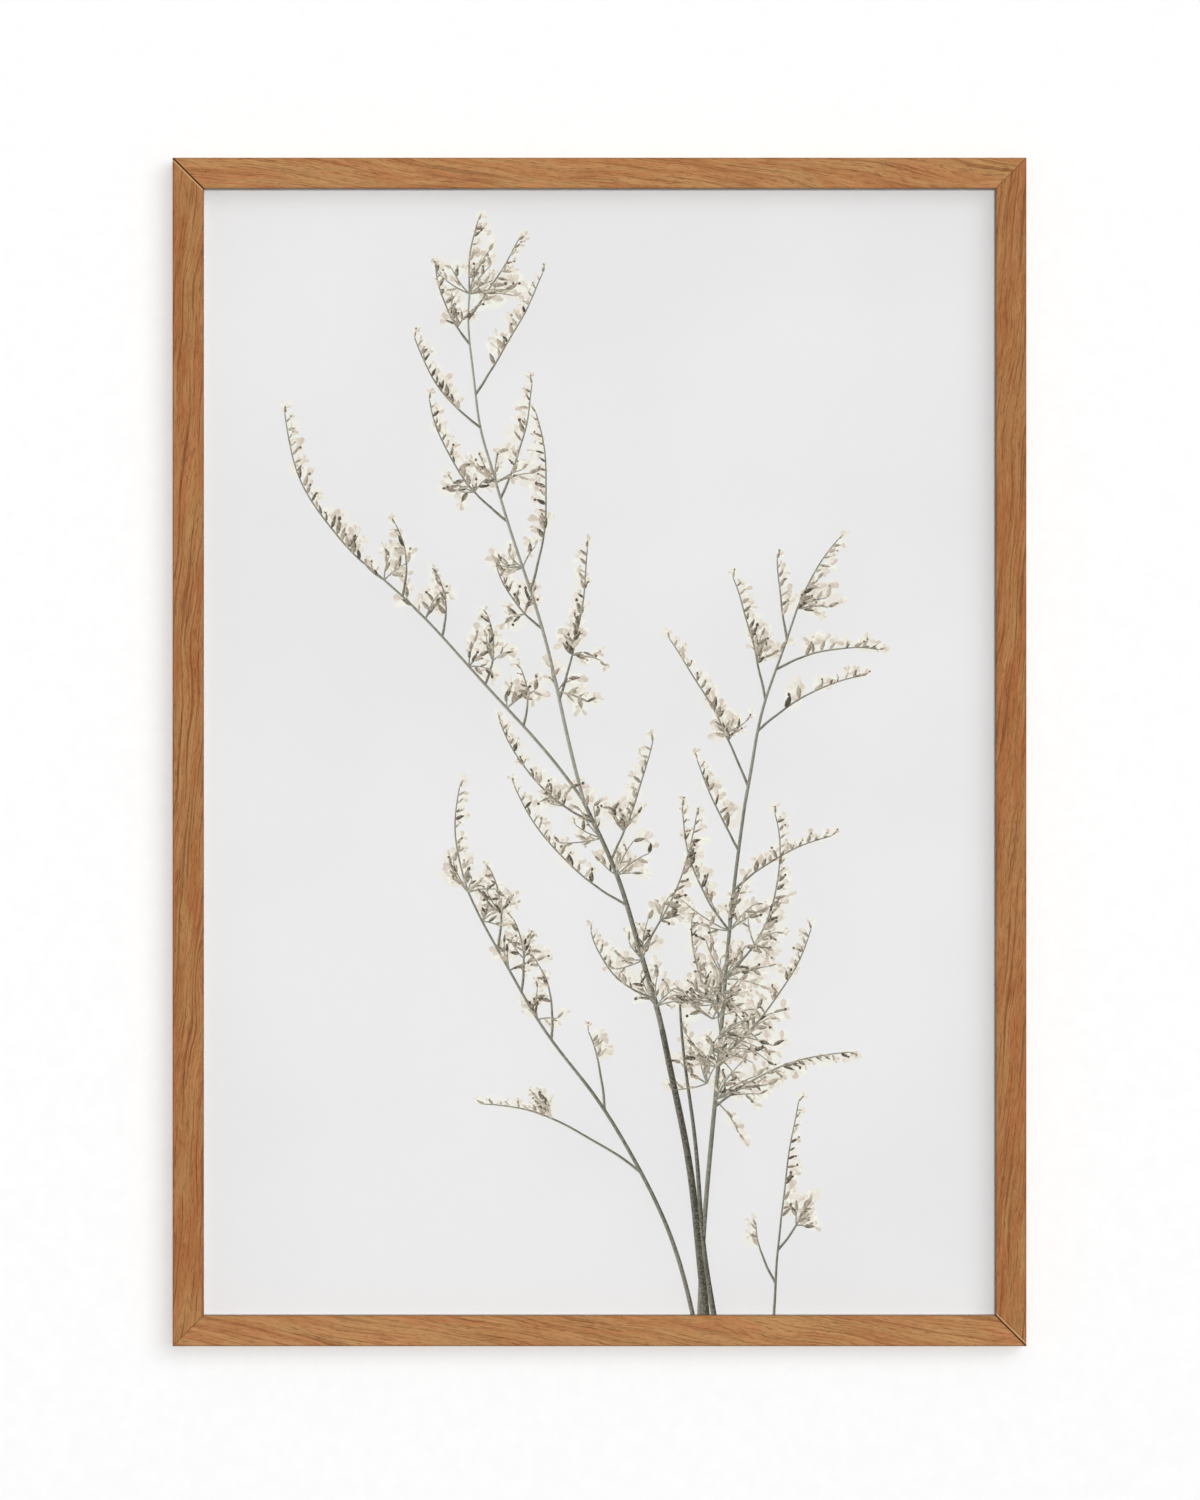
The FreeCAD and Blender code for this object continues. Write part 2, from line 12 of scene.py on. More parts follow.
import bpy
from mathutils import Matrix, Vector


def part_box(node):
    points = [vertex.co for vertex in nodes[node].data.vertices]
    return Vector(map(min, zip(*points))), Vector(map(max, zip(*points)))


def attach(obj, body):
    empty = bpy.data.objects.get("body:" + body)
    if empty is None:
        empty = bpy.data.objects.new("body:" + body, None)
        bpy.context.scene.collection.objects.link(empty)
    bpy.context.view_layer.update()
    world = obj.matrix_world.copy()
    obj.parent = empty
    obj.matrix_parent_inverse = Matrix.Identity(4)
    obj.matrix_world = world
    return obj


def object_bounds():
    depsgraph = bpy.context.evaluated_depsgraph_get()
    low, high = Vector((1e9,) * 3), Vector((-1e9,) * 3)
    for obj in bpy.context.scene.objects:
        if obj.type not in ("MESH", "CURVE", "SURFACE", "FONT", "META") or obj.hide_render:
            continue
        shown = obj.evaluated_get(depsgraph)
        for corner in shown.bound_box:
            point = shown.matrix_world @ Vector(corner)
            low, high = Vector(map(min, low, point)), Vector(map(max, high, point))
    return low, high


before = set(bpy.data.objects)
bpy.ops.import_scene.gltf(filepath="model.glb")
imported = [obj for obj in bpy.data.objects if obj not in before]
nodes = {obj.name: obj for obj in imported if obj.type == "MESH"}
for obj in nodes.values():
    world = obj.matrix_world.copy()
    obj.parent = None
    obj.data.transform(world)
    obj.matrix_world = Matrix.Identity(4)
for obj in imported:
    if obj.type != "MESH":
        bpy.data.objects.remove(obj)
cad_low, cad_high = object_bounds()

MM = 0.001
ROOT = "frame"

# Places read from the CAD model. The sight is the opening that the four boards leave.
FRONT = cad_low.y
WALL = cad_high.y
PRINT_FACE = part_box("art_print")[0].y
SIGHT_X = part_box("right_stile")[0].x
SIGHT_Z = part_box("top_rail")[0].z
FACE_WIDTH = cad_high.x - SIGHT_X


# ---------------------------------------------------------------- node trees


def srgb(red, green, blue):
    """A colour given as 0 to 255 display values, as the linear colour that a shader takes."""
    linear = []
    for value in (red, green, blue):
        share = value / 255
        linear.append(share / 12.92 if share <= 0.04045 else ((share + 0.055) / 1.055) ** 2.4)
    return (*linear, 1.0)


WHITE = srgb(255, 255, 255)


# A kind of mark in a grain: its length along the grain and width across it, how far its noise is
# shifted so that no two kinds match, the noise's detail, and the noise values between which the
# mark goes from absent to full.
Mark = namedtuple("Mark", "length width shift detail low high", defaults=(2.0, 0.0, 1.0))


class Shader:
    """A material's node tree. Most methods add nodes and return the socket that has the result."""

    def __init__(self, name):
        self.material = bpy.data.materials.new(name)
        self.material.use_nodes = True
        self.tree = self.material.node_tree
        self.tree.nodes.clear()

    def put(self, socket, value):
        if isinstance(value, bpy.types.NodeSocket):
            self.tree.links.new(value, socket)
        else:
            socket.default_value = value

    def node(self, kind, inputs=None, **settings):
        made = self.tree.nodes.new(kind)
        for name, value in settings.items():
            setattr(made, name, value)
        for name, value in (inputs or {}).items():
            self.put(made.inputs[name], value)
        return made

    def place(self):
        """The point of the piece that is being shaded, in the row frame at rest."""
        return self.node("ShaderNodeTexCoord").outputs["Object"]

    def position(self):
        """The three coordinates of that point."""
        return self.node("ShaderNodeSeparateXYZ", {0: self.place()}).outputs[:]

    def math(self, operation, first, second=0.0, third=0.0):
        inputs = {0: first, 1: second, 2: third}
        return self.node("ShaderNodeMath", inputs, operation=operation).outputs[0]

    def add(self, first, second):
        return self.math("ADD", first, second)

    def subtract(self, first, second):
        return self.math("SUBTRACT", first, second)

    def times(self, first, second):
        return self.math("MULTIPLY", first, second)

    def size_of(self, value):
        return self.math("ABSOLUTE", value)

    def vector(self, x, y, z):
        return self.node("ShaderNodeCombineXYZ", {0: x, 1: y, 2: z}).outputs[0]

    def noise(self, vector, detail=2.0, roughness=0.5, scale=1.0):
        inputs = {"Vector": vector, "Scale": scale, "Detail": detail, "Roughness": roughness}
        return self.node("ShaderNodeTexNoise", inputs).outputs[0]

    def streaks(self, grain, mark, seed):
        """Noise whose patches have the mark's size. grain is the place along, across and deep."""
        along, across, deep = grain
        place = self.vector(
            self.add(self.times(along, 1 / mark.length), seed + mark.shift),
            self.times(across, 1 / mark.width),
            self.times(deep, 1 / mark.width),
        )
        return self.noise(place, mark.detail)

    def marks(self, grain, mark, seed, faintest=0.0):
        """The same as shares: faintest where there is no mark, and 1 in the middle of one."""
        return self.fade(self.streaks(grain, mark, seed), mark.low, mark.high, faintest, 1.0)

    def fade(self, value, low, high, start=0.0, end=1.0):
        """Goes smoothly from start to end as value goes from low to high."""
        inputs = {"Value": value, 1: low, 2: high, 3: start, 4: end}
        made = self.node("ShaderNodeMapRange", inputs, interpolation_type="SMOOTHSTEP")
        return made.outputs[0]

    def mix(self, share, first, second):
        """A mix of two colours. The numbers are the Mix node's own for its colour sockets."""
        made = self.node("ShaderNodeMix", data_type="RGBA")
        for index, value in ((0, share), (6, first), (7, second)):
            self.put(made.inputs[index], value)
        return made.outputs[2]

    def ramp(self, value, stops):
        """A colour between the stops, which are pairs of place and colour."""
        made = self.node("ShaderNodeValToRGB", {0: value})
        elements = made.color_ramp.elements
        while len(elements) < len(stops):
            elements.new(1.0)
        for element, (place, colour) in zip(elements, stops):
            element.position = place
            element.color = colour
        return made.outputs[0]

    def bump(self, height, distance, strength=1.0, rounding=0.0):
        """Relief of the given depth. rounding is the radius that the edges seem to have."""
        inputs = {"Strength": strength, "Distance": distance, "Height": height}
        if rounding:
            inputs["Normal"] = self.node("ShaderNodeBevel", {"Radius": rounding}).outputs[0]
        return self.node("ShaderNodeBump", inputs).outputs[0]

    def surface(self, **sockets):
        """Ends the tree with a Principled shader. A name's underscores stand for spaces."""
        inputs = {name.replace("_", " "): value for name, value in sockets.items()}
        return self.finish(self.node("ShaderNodeBsdfPrincipled", inputs).outputs[0])

    def blend(self, share, first, second):
        """Ends the tree with a mix of two shaders."""
        inputs = {0: share, 1: first, 2: second}
        return self.finish(self.node("ShaderNodeMixShader", inputs).outputs[0])

    def finish(self, shader):
        """Ends the tree, and returns the material."""
        self.node("ShaderNodeOutputMaterial", {"Surface": shader})
        return self.material


def paint(node, material):
    """Gives a CAD node its finish."""
    slots = nodes[node].data.materials
    slots.clear()
    slots.append(material)


# ---------------------------------------------------------------- the wood

# The grain's own course, and the marks in it.
WANDER = Mark(90 * MM, 30 * MM, 0.0, 1.0)
WANDER_REACH = 16 * MM
RIPPLE = Mark(16 * MM, 9 * MM, 3.7)
RIPPLE_REACH = 1.6 * MM
RING_DRIFT = Mark(400 * MM, 7 * MM, 1.3, 1.0)
POROUS_STRETCH = Mark(60 * MM, 5 * MM, 9.1, 2.0, 0.36, 0.62)
DASH = Mark(9 * MM, 0.85 * MM, 5.3, 1.5, 0.56, 0.7)
CLUMP = Mark(45 * MM, 9 * MM, 1.9, 2.0, 0.38, 0.62)
SLIT = Mark(4.5 * MM, 0.2 * MM, 8.8, 1.0, 0.61, 0.67)
FIBRE = Mark(26 * MM, 0.5 * MM, 2.2, 4.0)
HAIR = Mark(12 * MM, 0.13 * MM, 6.9)
DARK_LINE = Mark(85 * MM, 1.6 * MM, 6.4, 2.0, 0.53, 0.66)
WARM_PATCH = Mark(58 * MM, 8.5 * MM, 4.4, 2.0, 0.4, 0.6)
GOLD_PATCH = Mark(48 * MM, 6 * MM, 7.9, 3.0, 0.48, 0.66)
ROSY_PATCH = Mark(34 * MM, 5 * MM, 11.3, 2.0, 0.52, 0.66)

# The growth rings: how far off the tree's heart lies, and the shares of a ring's width at which
# its porous wood ends and the next ring's sets in.
RING_WIDTH = 3.4 * MM
RING_UNEVENNESS = 1.6
HEART_ASIDE = 55 * MM
HEART_BEHIND = 46 * MM
POROUS_PART = 0.42
POROUS_ONSET = 0.86

# The board's arrises and mitres, and how deep its pores seem.
# The width of the painted shade along the front arrises.
ARRIS_SHADE_WIDTH = 1.2 * MM
ARRIS_RADIUS = 0.7 * MM
SEAM = 0.5 * MM
FRONT_SKIN = 0.4 * MM
PORE_DEPTH = 0.1 * MM

STRAW = srgb(178, 134, 83)
CINNAMON = srgb(170, 101, 55)
GOLD = srgb(194, 148, 94)
ROSE = srgb(196, 122, 82)
PALE_BOARD = srgb(192, 144, 100)
BROWN_BOARD = srgb(120, 68, 28)
POROUS_WOOD = srgb(140, 80, 38)
LINE_BROWN = srgb(112, 56, 22)
FIBRE_BROWN = srgb(158, 104, 60)
HAIR_BLOND = srgb(204, 160, 110)
DASH_BROWN = srgb(112, 64, 30)
PORE_BROWN = srgb(88, 48, 22)
# The colour of the painted shade along the front arrises.
ARRIS_SHADE_BROWN = srgb(98, 78, 52)
# The colour of the painted highlight beside the open mitres.
SEAM_HIGHLIGHT = srgb(212, 174, 130)
SEAM_BROWN = srgb(62, 34, 16)


def bent_grain(shader, along, across, deep, lean, seed):
    """Where a point is in the grain, which leans across the board and wanders a little."""
    straight = (along, across, deep)
    bent = shader.add(across, shader.times(along, lean))
    bent = shader.add(bent, shader.times(shader.streaks(straight, WANDER, seed), WANDER_REACH))
    bent = shader.add(bent, shader.times(shader.streaks(straight, RIPPLE, seed), RIPPLE_REACH))
    return along, bent, deep


def porous_wood(shader, grain, heart_side, seed):
    """The dark porous start of each growth ring, which fades to dense wood, as a share."""
    _, across, deep = grain
    aside = shader.subtract(across, heart_side * HEART_ASIDE)
    behind = shader.subtract(deep, HEART_BEHIND)
    squares = shader.add(shader.times(aside, aside), shader.times(behind, behind))
    radius = shader.math("SQRT", squares)
    drift = shader.times(shader.streaks(grain, RING_DRIFT, seed), RING_UNEVENNESS)
    phase = shader.math("FRACT", shader.add(shader.times(radius, 1 / RING_WIDTH), drift))
    start = shader.fade(phase, 0.0, POROUS_PART, 1.0, 0.0)
    onset = shader.fade(phase, POROUS_ONSET, 1.0)
    return shader.times(shader.add(start, onset), shader.marks(grain, POROUS_STRETCH, seed))


def painted_arris_shade(shader, colour, across, from_front, sight):
    """Darkens the front arrises: painted shade, where their rounded edges turn away from the light.
    """
    middle = sight + FACE_WIDTH / 2
    from_middle = shader.size_of(shader.subtract(shader.size_of(across), middle))
    from_side = shader.subtract(FACE_WIDTH / 2, from_middle)
    share = shader.fade(shader.add(from_side, from_front), 0.0, ARRIS_SHADE_WIDTH, 0.25, 0.0)
    return shader.mix(share, colour, ARRIS_SHADE_BROWN)


def mitres(shader, colour, upright, from_front, sight, other_sight):
    """A dark line along each mitre, open at two corners and tight at the others.

    A thin painted highlight runs by the open ones, on the stiles' front only.
    """
    x, _, z = shader.position()
    along, across = (z, x) if upright else (x, z)
    past_sight = shader.subtract(shader.size_of(along), other_sight)
    across_sight = shader.subtract(shader.size_of(across), sight)
    off_seam = shader.size_of(shader.subtract(past_sight, across_sight))
    open_corner = shader.math("LESS_THAN", shader.times(x, z), 0.0)
    if upright:
        # A painted highlight beside the seam, at the open corners.
        near = shader.fade(off_seam, 1.5 * SEAM, 2.2 * SEAM)
        far = shader.fade(off_seam, 2.8 * SEAM, 4.4 * SEAM, 1.0, 0.0)
        at_front = shader.fade(from_front, 0.0, FRONT_SKIN, 1.0, 0.0)
        seam_highlight = shader.times(shader.times(near, far), at_front)
        seam_highlight = shader.times(seam_highlight, shader.times(open_corner, 0.75))
        colour = shader.mix(seam_highlight, colour, SEAM_HIGHLIGHT)
    gap = shader.fade(off_seam, 0.7 * SEAM, 2.1 * SEAM, 1.0, 0.0)
    gap = shader.times(gap, shader.add(shader.times(open_corner, 0.78), 0.1))
    return shader.mix(gap, colour, SEAM_BROWN)


def wood(name, upright, seed, lean, reddish, pale, brown, streaky):
    """Open-grained brown timber with its grain along one side of the frame.

    lean is how much the grain runs off the board's length. reddish, pale and brown move the
    board's own colour, because no two boards match. streaky is how much its dark lines show.
    """
    shader = Shader(name)
    x, y, z = shader.position()
    along, across = (z, x) if upright else (x, z)
    grain = bent_grain(shader, along, across, y, lean, seed)
    porous = porous_wood(shader, grain, (-1) ** seed, seed)

    # Pores are fine slits that crowd together in the porous bands and in short dashes.
    dashes = shader.marks(grain, DASH, seed)
    clumps = shader.marks(grain, CLUMP, seed, 0.35)
    crowding = shader.add(shader.times(dashes, 0.13), shader.times(porous, 0.06))
    slits = shader.add(shader.streaks(grain, SLIT, seed), shader.times(crowding, clumps))
    pores = shader.fade(slits, SLIT.low, SLIT.high)
    fibres = shader.streaks(grain, FIBRE, seed)
    hairs = shader.streaks(grain, HAIR, seed)

    # Broad patches of colour, then the grain's own lights and darks.
    warm = shader.add(shader.marks(grain, WARM_PATCH, seed), reddish)
    colour = shader.mix(warm, STRAW, CINNAMON)
    layers = (
        (shader.times(shader.marks(grain, GOLD_PATCH, seed), 0.78), GOLD),
        (shader.times(shader.marks(grain, ROSY_PATCH, seed), 0.5), ROSE),
        (pale, PALE_BOARD),
        (brown, BROWN_BOARD),
        (shader.times(porous, 0.34), POROUS_WOOD),
        (shader.times(shader.marks(grain, DARK_LINE, seed), streaky), LINE_BROWN),
        (shader.fade(fibres, 0.3, 0.7, 0.0, 0.3), FIBRE_BROWN),
        (shader.fade(hairs, 0.35, 0.7, 0.0, 0.3), HAIR_BLOND),
        (shader.times(dashes, shader.times(clumps, 0.09)), DASH_BROWN),
        (shader.times(pores, 0.55), PORE_BROWN),
    )
    for share, tint in layers:
        colour = shader.mix(share, colour, tint)

    sight, other_sight = (SIGHT_X, SIGHT_Z) if upright else (SIGHT_Z, SIGHT_X)
    from_front = shader.subtract(y, FRONT)
    # Painted shade along the front arrises.
    colour = painted_arris_shade(shader, colour, across, from_front, sight)
    colour = mitres(shader, colour, upright, from_front, sight, other_sight)

    height = shader.subtract(shader.times(shader.add(fibres, hairs), 0.2), pores)
    rough = shader.add(shader.times(pores, 0.2), shader.fade(fibres, 0.3, 0.7, 0.44, 0.54))
    return shader.surface(
        Base_Color=colour,
        Roughness=rough,
        Specular_IOR_Level=0.18,
        Normal=shader.bump(height, PORE_DEPTH, 0.5, ARRIS_RADIUS),
    )


def paint_wood():
    stile = dict(upright=True, pale=0.0, streaky=0.95)
    rail = dict(upright=False, reddish=-0.1, streaky=0.58)
    boards = {
        "left_stile": dict(stile, seed=1, lean=-0.09, reddish=0.1, brown=0.32),
        "right_stile": dict(stile, seed=4, lean=-0.1, reddish=0.2, brown=0.36),
        "top_rail": dict(rail, seed=7, lean=0.17, pale=0.24, brown=0.03),
        "bottom_rail": dict(rail, seed=10, lean=0.18, pale=0.28, brown=0.04),
    }
    for node, board in boards.items():
        paint(node, wood("wood_" + node, **board))


# ---------------------------------------------------------------- the other finishes


def glazing():
    """Clear picture glass: see-through, with a mirror's share that grows at a grazing angle."""
    shader = Shader("picture_glass")
    facing = shader.node("ShaderNodeLayerWeight", {"Blend": 0.5}).outputs["Facing"]
    mirror = shader.add(shader.times(shader.math("POWER", facing, 5.0), 0.92), 0.035)
    clear_inputs = {"Color": (0.996, 0.998, 0.996, 1)}
    clear = shader.node("ShaderNodeBsdfTransparent", clear_inputs).outputs[0]
    haze = shader.noise(shader.place(), 2.0, 0.5, 7.0)
    shine_inputs = {"Color": WHITE, "Roughness": shader.fade(haze, 0.3, 0.7, 0.03, 0.06)}
    shine = shader.node("ShaderNodeBsdfGlossy", shine_inputs).outputs[0]
    return shader.blend(mirror, clear, shine)


def paper():
    """The print's ground: matt cotton paper in a pale grey, with a faint tooth."""
    shader = Shader("print_paper")
    place = shader.place()
    cloud = shader.noise(place, 2.0, 0.5, 5.0)
    tooth = shader.noise(place, 3.0, 0.6, 2600.0)
    colour = shader.mix(shader.fade(cloud, 0.35, 0.65), srgb(231, 230, 231), srgb(234, 233, 234))
    return shader.surface(
        Base_Color=colour,
        Roughness=shader.fade(tooth, 0.3, 0.7, 0.82, 0.95),
        Specular_IOR_Level=0.15,
        Normal=shader.bump(tooth, 0.02 * MM, 0.3),
    )


def card(name, pale, dark, fleck_size, fleck_share):
    """Pressed board or card: cloudy, with a fine felt of fibres and a few darker flecks."""
    shader = Shader(name)
    place = shader.place()
    cloud = shader.noise(place, 5.0, 0.6, 14.0)
    felt = shader.noise(place, 5.0, 0.85, 620.0)
    flecks = shader.fade(shader.noise(place, 2.0, 0.5, 1 / fleck_size), 0.68, 0.74)
    colour = shader.mix(shader.fade(felt, 0.32, 0.68), dark, pale)
    colour = shader.mix(shader.fade(cloud, 0.3, 0.7, 0.0, 0.3), colour, dark)
    colour = shader.mix(shader.times(flecks, fleck_share), colour, srgb(74, 52, 34))
    return shader.surface(
        Base_Color=colour,
        Roughness=shader.fade(cloud, 0.3, 0.7, 0.58, 0.76),
        Specular_IOR_Level=0.25,
        Normal=shader.bump(felt, 0.08 * MM, 0.5),
    )


def mount_card():
    return card("mount_board_card", srgb(236, 232, 222), srgb(222, 217, 205), 2 * MM, 0.1)


def fibreboard():
    return card("pressed_fibreboard", srgb(156, 121, 86), srgb(130, 98, 68), 1.6 * MM, 0.5)


def corrugated():
    """Kraft corrugated board: brown liner with soft flutes showing through as faint bands."""
    flute_pitch = 6.5 * MM
    shader = Shader("kraft_corrugated")
    x, y, z = shader.position()
    flutes = shader.math("SINE", shader.times(x, math.tau / flute_pitch))
    fibre = shader.noise(shader.vector(x, y, shader.times(z, 5.0)), 4.0, 0.6, 160.0)
    colour = shader.mix(shader.fade(fibre, 0.3, 0.7), srgb(172, 136, 96), srgb(196, 160, 118))
    colour = shader.mix(shader.fade(flutes, -1.0, 1.0, 0.0, 0.14), colour, srgb(150, 114, 78))
    relief = shader.bump(shader.times(flutes, 0.3), 0.1 * MM)
    return shader.surface(Base_Color=colour, Roughness=0.85, Normal=relief)


def zinc():
    """Bright zinc plate on pressed steel: fine drawing marks, cloudy patches and slight tarnish."""
    shader = Shader("zinc_plated_steel")
    x, y, z = shader.position()
    drawn = shader.vector(x, y, shader.times(z, 14.0))
    scratches = shader.noise(drawn, 3.0, 0.6, 420.0)
    cloud = shader.noise(shader.place(), 3.0, 0.6, 260.0)
    colour = shader.mix(shader.fade(cloud, 0.35, 0.7), srgb(198, 200, 200), srgb(172, 172, 167))
    brushed = shader.fade(scratches, 0.3, 0.7, 0.3, 0.42)
    rough = shader.add(brushed, shader.fade(cloud, 0.4, 0.7, 0.0, 0.1))
    relief = shader.bump(scratches, 0.03 * MM, 0.35)
    return shader.surface(Base_Color=colour, Metallic=1.0, Roughness=rough, Normal=relief)


def rubber():
    """Soft dark rubber with a dusty bloom."""
    shader = Shader("bumper_rubber")
    bloom = shader.noise(shader.place(), 4.0, 0.6, 500.0)
    return shader.surface(
        Base_Color=shader.mix(shader.fade(bloom, 0.35, 0.7), srgb(48, 47, 46), srgb(74, 72, 70)),
        Roughness=shader.fade(bloom, 0.3, 0.7, 0.6, 0.8),
        Normal=shader.bump(bloom, 0.05 * MM, 0.4),
    )


def spacer_plastic():
    """White extruded plastic with faint lines along its length."""
    shader = Shader("spacer_plastic")
    x, y, z = shader.position()
    lines = shader.noise(shader.vector(x, shader.times(y, 30.0), z), 2.0, 0.5, 60.0)
    colour = shader.mix(shader.fade(lines, 0.3, 0.7), srgb(214, 214, 210), srgb(230, 230, 228))
    relief = shader.bump(lines, 0.05 * MM, 0.3)
    return shader.surface(Base_Color=colour, Roughness=0.5, Normal=relief)


def paint_nodes():
    """Every CAD node gets the finish that its name calls for."""
    paint_wood()
    steel = zinc()
    finishes = {
        "glazing_sheet": glazing(),
        "art_print": paper(),
        "mount_board": mount_card(),
        "filler_board": corrugated(),
        "back_panel": fibreboard(),
    }
    by_ending = {
        "spacer": spacer_plastic(),
        "bumper": rubber(),
        "ring": steel,
        "strap": steel,
        "screws": steel,
        "nails": steel,
    }
    for node in nodes:
        ending = node.rsplit("_", 1)[-1]
        if node in finishes:
            paint(node, finishes[node])
        elif "turn_button" in node:
            paint(node, steel)
        elif ending in by_ending:
            paint(node, by_ending[ending])


# ---------------------------------------------------------------- the picture

INK_THICKNESS = 0.06 * MM
GOLDEN_SHARE = 0.618
TONE = "tone"

GLOW_TONES = ((0.0, srgb(232, 226, 218)), (1.0, srgb(237, 238, 230)))
PETAL_TONES = ((0.0, srgb(206, 192, 178)), (0.5, srgb(226, 219, 206)), (1.0, srgb(243, 241, 233)))
STEM_TONES = ((0.0, srgb(50, 46, 30)), (0.5, srgb(142, 139, 124)), (1.0, srgb(186, 185, 173)))
BUD_TONES = ((0.0, srgb(64, 56, 44)), (0.4, srgb(158, 147, 130)), (1.0, srgb(210, 200, 184)))

STEM_STEP = 5 * MM
STEM_WOBBLE = radians(2.0)
BUD_SPACING = 5.2 * MM
TUFT_BUD = 6.2 * MM


class Ink:
    """Flat shapes printed in one colour family, gathered into one thin mesh.

    A shape is a ribbon along a line. Each carries a tone from 0, dark, to 1, pale. Its left side
    is paler than that by shade, and its right side is darker by as much. lift is how far the
    shapes lie in front of the paper, and mottle is how uneven their tones are.
    """

    def __init__(self, name, tones, lift, shade, mottle):
        self.name = name
        self.tone_stops = tones
        self.lift = lift
        self.shade = shade
        self.mottle = mottle
        self.points = []
        self.faces = []
        self.tones = []
        self.ribbons = 0

    def ribbon(self, line, widths, tone):
        """A closed ribbon, slightly raised along its middle, through the line's points.

        Each lies a little off the others in depth, so that no two that cross share a plane.
        """
        self.ribbons += 1
        step_off = (self.ribbons * GOLDEN_SHARE % 1) * INK_THICKNESS
        back = PRINT_FACE - self.lift - step_off
        first = len(self.points)
        last = len(line) - 1
        for index, (x, z) in enumerate(line):
            before = line[max(index - 1, 0)]
            after = line[min(index + 1, last)]
            run_x = after[0] - before[0]
            run_z = after[1] - before[1]
            run = math.hypot(run_x, run_z) or 1.0
            side_x = -run_z / run * widths[index] / 2
            side_z = run_x / run * widths[index] / 2
            self.points.append((x + side_x, back, z + side_z))
            self.points.append((x, back - INK_THICKNESS, z))
            self.points.append((x - side_x, back, z - side_z))
        for index in range(last):
            here = first + 3 * index
            ahead = here + 3
            for near, far in ((0, 1), (1, 2), (2, 0)):
                self.faces.append((here + near, here + far, ahead + far, ahead + near))
        self.faces.append((first + 2, first + 1, first))
        end = first + 3 * last
        self.faces.append((end, end + 1, end + 2))
        across = (tone + self.shade, tone, tone - self.shade)
        self.tones += [min(max(part, 0.0), 1.0) for part in across] * len(line)

    def colour(self):
        """Matt ink whose colour follows the shape's tone, with a little mottle."""
        shader = Shader("ink_" + self.name)
        tone = shader.node("ShaderNodeAttribute", attribute_name=TONE).outputs["Fac"]
        grain = shader.noise(shader.place(), 3.0, 0.6, 900.0)
        uneven = shader.add(tone, shader.fade(grain, 0.3, 0.7, -self.mottle, self.mottle))
        colour = shader.ramp(uneven, self.tone_stops)
        return shader.surface(Base_Color=colour, Roughness=0.9, Specular_IOR_Level=0.1)

    def piece(self):
        """All the shapes as one piece, on the print."""
        name = "print_" + self.name
        mesh = bpy.data.meshes.new(name)
        mesh.from_pydata(self.points, [], self.faces)
        mesh.attributes.new(TONE, "FLOAT", "POINT").data.foreach_set("value", self.tones)
        mesh.materials.append(self.colour())
        mesh.update()
        made = bpy.data.objects.new(name, mesh)
        bpy.context.scene.collection.objects.link(made)
        made.visible_shadow = False
        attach(made, ROOT)


def lens(share):
    """A bud's width along its length: pointed at both ends, fullest past the middle."""
    return math.sin(math.pi * share**0.8) ** 0.8


def fan(share):
    """A petal's width along its length: narrow at its foot, broad and rounded at its end."""
    return (0.25 + 0.95 * share) * math.sqrt(max(1 - share**4, 0.0))


class Curve:
    """The points of a line that sets off at heading and turns by bend, and its heading at each.

    Headings are in radians from upright, positive to the right. wobble is how far they swing off
    an even bend, and phase is where the swing starts.
    """

    def __init__(self, start, heading, length, bend, steps, wobble=0.0, phase=0.0):
        x, z = start
        self.line = [(x, z)]
        self.headings = [heading]
        step = length / steps
        for index in range(1, steps + 1):
            share = index / steps
            turn = heading + bend * share + wobble * math.sin(share * math.tau * 1.5 + phase)
            x += step * math.sin(turn)
            z += step * math.cos(turn)
            self.line.append((x, z))
            self.headings.append(turn)

    def at(self, share):
        """The point and the heading at a share of the length."""
        index = int(share * (len(self.line) - 1))
        return self.line[index], self.headings[index]


